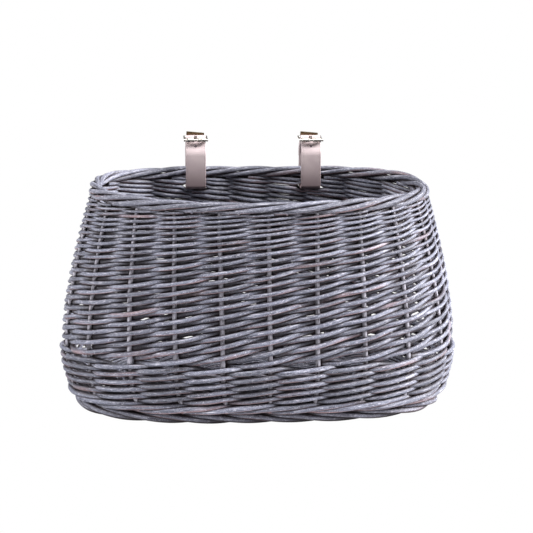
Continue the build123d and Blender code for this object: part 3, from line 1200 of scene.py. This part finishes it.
    def punch(self, piece: bpy.types.Object, centre: Vector, way: Vector) -> None:
        """Punch a round hole through the strip.

        Args:
            piece: the strap.
            centre: the middle of the hole.
            way: the direction of the punch.
        """
        select_nothing()
        bpy.ops.mesh.primitive_cylinder_add(vertices=24, radius=self.hole / 2, depth=3 * self.thickness,
                                            location=centre)
        tool = bpy.context.active_object
        tool.rotation_euler = way.to_track_quat("Z", "X").to_euler()
        self.cut(piece, tool)

    def prong_openings(self, piece: bpy.types.Object) -> None:
        """Cut the window for the prong's ring in the flap, and the slot for its shank in the tail.

        Args:
            piece: the strap.
        """
        pin = self.pin()
        select_nothing()
        bpy.ops.mesh.primitive_cylinder_add(vertices=32, radius=self.eye_window_radius,
                                            depth=self.eye_window, location=pin)
        ring = bpy.context.active_object
        ring.rotation_euler = (0, math.pi / 2, 0)
        self.cut(piece, ring)
        select_nothing()
        bpy.ops.mesh.primitive_cube_add(size=1, location=pin + Vector((0, *self.slot_middle)))
        slot = bpy.context.active_object
        slot.scale = self.slot_size
        slot.rotation_euler = (-math.radians(self.slot_tilt), 0, 0)
        self.cut(piece, slot)

    def cut(self, piece: bpy.types.Object, tool: bpy.types.Object) -> None:
        """Take a tool's shape out of a piece, and remove the tool.

        Args:
            piece: the piece.
            tool: the tool.
        """
        bpy.context.view_layer.update()
        select_nothing()
        bpy.context.view_layer.objects.active = piece
        piece.select_set(True)
        cutter = piece.modifiers.new("cut", "BOOLEAN")
        cutter.operation = "DIFFERENCE"
        cutter.solver = "EXACT"
        cutter.object = tool
        bpy.ops.object.modifier_apply(modifier=cutter.name)
        bpy.data.objects.remove(tool)

    @staticmethod
    def on_path(start: Vector, end: Vector, length: float) -> Vector:
        """Place on a straight part of the path, at a length from its start."""
        return start + (end - start).normalized() * length

    def build(self, finishes: Finishes) -> None:
        """Model and dress the strap.

        Args:
            finishes: the shared finishes.
        """
        piece = self.shape()
        hub, pin = self.hub(), self.pin()
        near_way = self.spoke(90 + self.leaves_at(self.loop_line, self.tail_eye_line))
        far = 90 - self.leaves_at(self.tail_line, self.tail_eye_line)
        far_way = self.spoke(far)
        top = pin + near_way * self.tail_eye_line
        self.punch(piece, self.on_path(top, hub + near_way * self.loop_line, self.hole_pitch), near_way)
        top, low = pin + far_way * self.tail_eye_line, hub + far_way * self.tail_line
        self.punch(piece, self.on_path(top, low, self.first_hole), far_way)
        rest = self.first_hole + self.hole_pitch - (low - top).length
        last_way = self.spoke(far - math.degrees(rest / self.tail_line))
        self.punch(piece, hub + last_way * self.tail_line, last_way)
        self.prong_openings(piece)
        piece.data.materials.append(finishes.leather)
        select_nothing()
        piece.select_set(True)
        bpy.context.view_layer.objects.active = piece
        bpy.ops.object.shade_smooth_by_angle(angle=math.radians(32))
        LOG.info("%s: %d faces", piece.name, len(piece.data.polygons))
        dress(piece, f"{self.side}_strap", [f"{self.side}_strap"])


@dataclass
class BuckleBars:
    """The cast end bars of one buckle: the near one notched for the prong, the far one a raised plate."""

    side: str
    pin: Vector
    reach: float = 10.5 * MM
    rise: float = 1.5 * MM
    length: float = 19.8 * MM
    notch: float = 3.2 * MM
    near_radius: float = 2.2 * MM
    plate: tuple[float, float, float] = (18.0 * MM, 1.6 * MM, 4.2 * MM)
    plate_lift: float = 3.1 * MM
    plate_tilt: float = 5.0
    edge: float = 0.5 * MM

    def sleeve(self, name: str, middle: Vector, radius: float, length: float) -> bpy.types.Object:
        """Model one sleeve, a short rod across the strap with rounded ends.

        Args:
            name: the object's name.
            middle: the sleeve's middle.
            radius: its radius.
            length: its length.

        Returns:
            The sleeve.
        """
        select_nothing()
        bpy.ops.mesh.primitive_cylinder_add(vertices=32, radius=radius, depth=length, location=middle)
        piece = bpy.context.active_object
        piece.name = name
        piece.rotation_euler = (0, math.pi / 2, 0)
        apply_place(piece)
        self.round_edges(lambda co: abs(abs(co.x - middle.x) - length / 2) < 1e-6)
        return piece

    def round_edges(self, test: Callable[[Vector], bool]) -> None:
        """Round the edges between the vertices for which a test holds, and shade the piece smooth.

        Args:
            test: says for a vertex's place whether its edges are rounded.
        """
        bpy.ops.object.mode_set(mode="EDIT")
        select_points(test)
        bpy.ops.mesh.bevel(offset=self.edge, segments=3, affect="EDGES")
        bpy.ops.object.mode_set(mode="OBJECT")
        bpy.ops.object.shade_smooth_by_angle(angle=math.radians(40))

    def far_plate(self, middle: Vector) -> bpy.types.Object:
        """Model the raised plate that stands on the far bar.

        Args:
            middle: the far bar's middle.

        Returns:
            The plate.
        """
        select_nothing()
        bpy.ops.mesh.primitive_cube_add(size=1, location=middle + Vector((0, 0, self.plate_lift)))
        piece = bpy.context.active_object
        piece.name = f"{self.side}_far_plate"
        piece.scale = self.plate
        piece.rotation_euler = (0, math.radians(self.plate_tilt), 0)
        apply_place(piece)
        self.round_edges(lambda co: True)
        return piece

    def build(self, finishes: Finishes) -> None:
        """Model and dress the two halves of the near bar and the far plate.

        Args:
            finishes: the shared finishes.
        """
        near = self.pin + Vector((0, -self.reach, self.rise))
        far = self.pin + Vector((0, self.reach, self.rise))
        half = (self.length - self.notch) / 2
        step = Vector(((self.notch + half) / 2, 0, 0))
        pieces = [
            (self.sleeve(f"{self.side}_near_sleeve_west", near - step, self.near_radius, half),
             finishes.metal),
            (self.sleeve(f"{self.side}_near_sleeve_east", near + step, self.near_radius, half),
             finishes.metal),
            # The far plate's dark brown is a painted reflection.
            (self.far_plate(far), finishes.dark_reflection_metal),
        ]
        for piece, finish in pieces:
            piece.data.materials.append(finish)
            dress(piece, f"{self.side}_buckle_frame", [])
        LOG.info("%s buckle: %d cast parts", self.side, len(pieces))


# ------------------------------------------------------------------ studio
@dataclass
class Studio:
    """White floor, soft lights and the camera.

    A light is its name, azimuth, elevation, strength and apparent width, with angles in degrees.
    """

    ambient: float = 0.26
    lights: tuple[tuple[str, float, float, float, float], ...] = (
        ("key", 82, 32, 10.0, 22),
        ("fill", -80, 30, 3.5, 25),
        ("top", 15, 66, 1.7, 30),
    )
    azimuth: float = math.radians(-5)
    elevation: float = math.radians(13.4)
    distance: float = 1.40
    target: tuple[float, float, float] = (0.0073, 0.0, 0.1283)
    lens: float = 97.8
    roll: float = math.radians(0.7)

    def soft_light(self, name: str, azimuth: float, elevation: float, strength: float,
                   spread: float) -> None:
        """Add a large soft light, far away.

        Args:
            name: the light's name.
            azimuth: where it stands, in degrees to the right of straight in front.
            elevation: its height in degrees.
            strength: its strength.
            spread: its apparent width in degrees.
        """
        light = bpy.data.lights.new(name, "SUN")
        light.energy = strength
        light.angle = math.radians(spread)
        lamp = bpy.data.objects.new(name, light)
        bpy.context.scene.collection.objects.link(lamp)
        turn, rise = math.radians(azimuth), math.radians(elevation)
        way = Vector((math.sin(turn) * math.cos(rise), -math.cos(turn) * math.cos(rise), math.sin(rise)))
        lamp.rotation_euler = (-way).to_track_quat("-Z", "Y").to_euler()

    def build(self, finishes: Finishes) -> None:
        """Set up the floor, the lights and the camera.

        Args:
            finishes: the shared finishes.
        """
        bpy.ops.mesh.primitive_plane_add(size=16, location=(0, 0, 0))
        floor = bpy.context.active_object
        floor.name = "floor"
        floor.data.materials.append(finishes.table)

        world = bpy.data.worlds.new("studio")
        bpy.context.scene.world = world
        world.use_nodes = True
        tree = world.node_tree
        tree.nodes.clear()
        path = add_node(tree, "ShaderNodeLightPath")
        seen = add_node(tree, "ShaderNodeBackground", in_Strength=1.0)
        glow = add_node(tree, "ShaderNodeBackground", in_Strength=self.ambient)
        either = add_node(tree, "ShaderNodeMixShader", {0: path.outputs["Is Camera Ray"],
                                                        1: glow.outputs[0], 2: seen.outputs[0]})
        add_node(tree, "ShaderNodeOutputWorld", {"Surface": either.outputs[0]})
        for background in (seen, glow):
            background.inputs["Color"].default_value = srgb("FFFFFF")

        for name, azimuth, elevation, strength, spread in self.lights:
            self.soft_light(name, azimuth, elevation, strength, spread)

        camera = bpy.data.cameras.new("camera")
        camera.lens = self.lens
        holder = bpy.data.objects.new("camera", camera)
        bpy.context.scene.collection.objects.link(holder)
        target = Vector(self.target)
        flat = math.cos(self.elevation)
        way = Vector((math.sin(self.azimuth) * flat, -math.cos(self.azimuth) * flat,
                      math.sin(self.elevation)))
        holder.location = target + way * self.distance
        look = (-way).to_track_quat("-Z", "Y").to_matrix() @ Matrix.Rotation(self.roll, 3, "Z")
        holder.rotation_euler = look.to_euler()
        bpy.context.scene.camera = holder
        bpy.context.scene.view_settings.view_transform = "Standard"


def main() -> None:
    """Build the basket, piece by piece."""
    logging.basicConfig(level=logging.INFO, format="%(name)s %(message)s")
    finishes = Finishes(
        # The willow finishes paint shade into their crevices; on the stakes this painted shade reaches less
        # far.
        weave=WashedWillow("washed_willow").material(),
        border=WashedWillow("washed_willow_border", wash="626371").material(),
        stake=WashedWillow("washed_willow_stake", wash="A09DA8", painted_shade_reach=4 * MM).material(),
        leather=StrapLeather().material(),
        metal=PlatedMetal().material(),
        # This finish holds a painted reflection: the dark brown that the far bar mirrors is put into its
        # colour.
        dark_reflection_metal=PlatedMetal("nickel_plate_painted_reflection", colour="6E5C45", mark_tone="35291C").material(),
        table=OpalTable().material(),
    )
    shape = WallShape()
    stakes = Stakes(shape)
    stakes.build(finishes)
    gaps = []
    for joint in frame["joints"]:
        side, _, movement = joint["name"].partition("_")
        if movement == "strap_swing":
            slot = Vector(joint["pos_m"])
            gaps.append(StrapGap(slot.x, slot.z))
            strap = Strap(side, slot)
            strap.build(finishes)
            BuckleBars(side, strap.pin()).build(finishes)
    Siding(shape, stakes, gaps).build(finishes)
    WovenBand("wale", "wale_band", PAIRING, shape, stakes, low=21.5 * MM, high=57.5 * MM, rounds=5,
              thickness=4.4 * MM, lay=2.5 * MM, seed=29).build(finishes)
    WovenBand("upsett", "upsett_wale", THREE_ROD_WALE, shape, stakes, low=11 * MM, high=21.5 * MM,
              rounds=1, thickness=5.0 * MM, lay=3.4 * MM, seed=31).build(finishes)
    RolledBorder(shape).build(finishes)
    TwistedFoot(shape).build(finishes)
    WovenBase(shape).build(finishes)
    for name, node in frame["nodes"].items():
        if "buckle" in name:
            node.data.materials.clear()
            node.data.materials.append(finishes.metal)
    Studio().build(finishes)


if __name__ == "__main__":
    main()
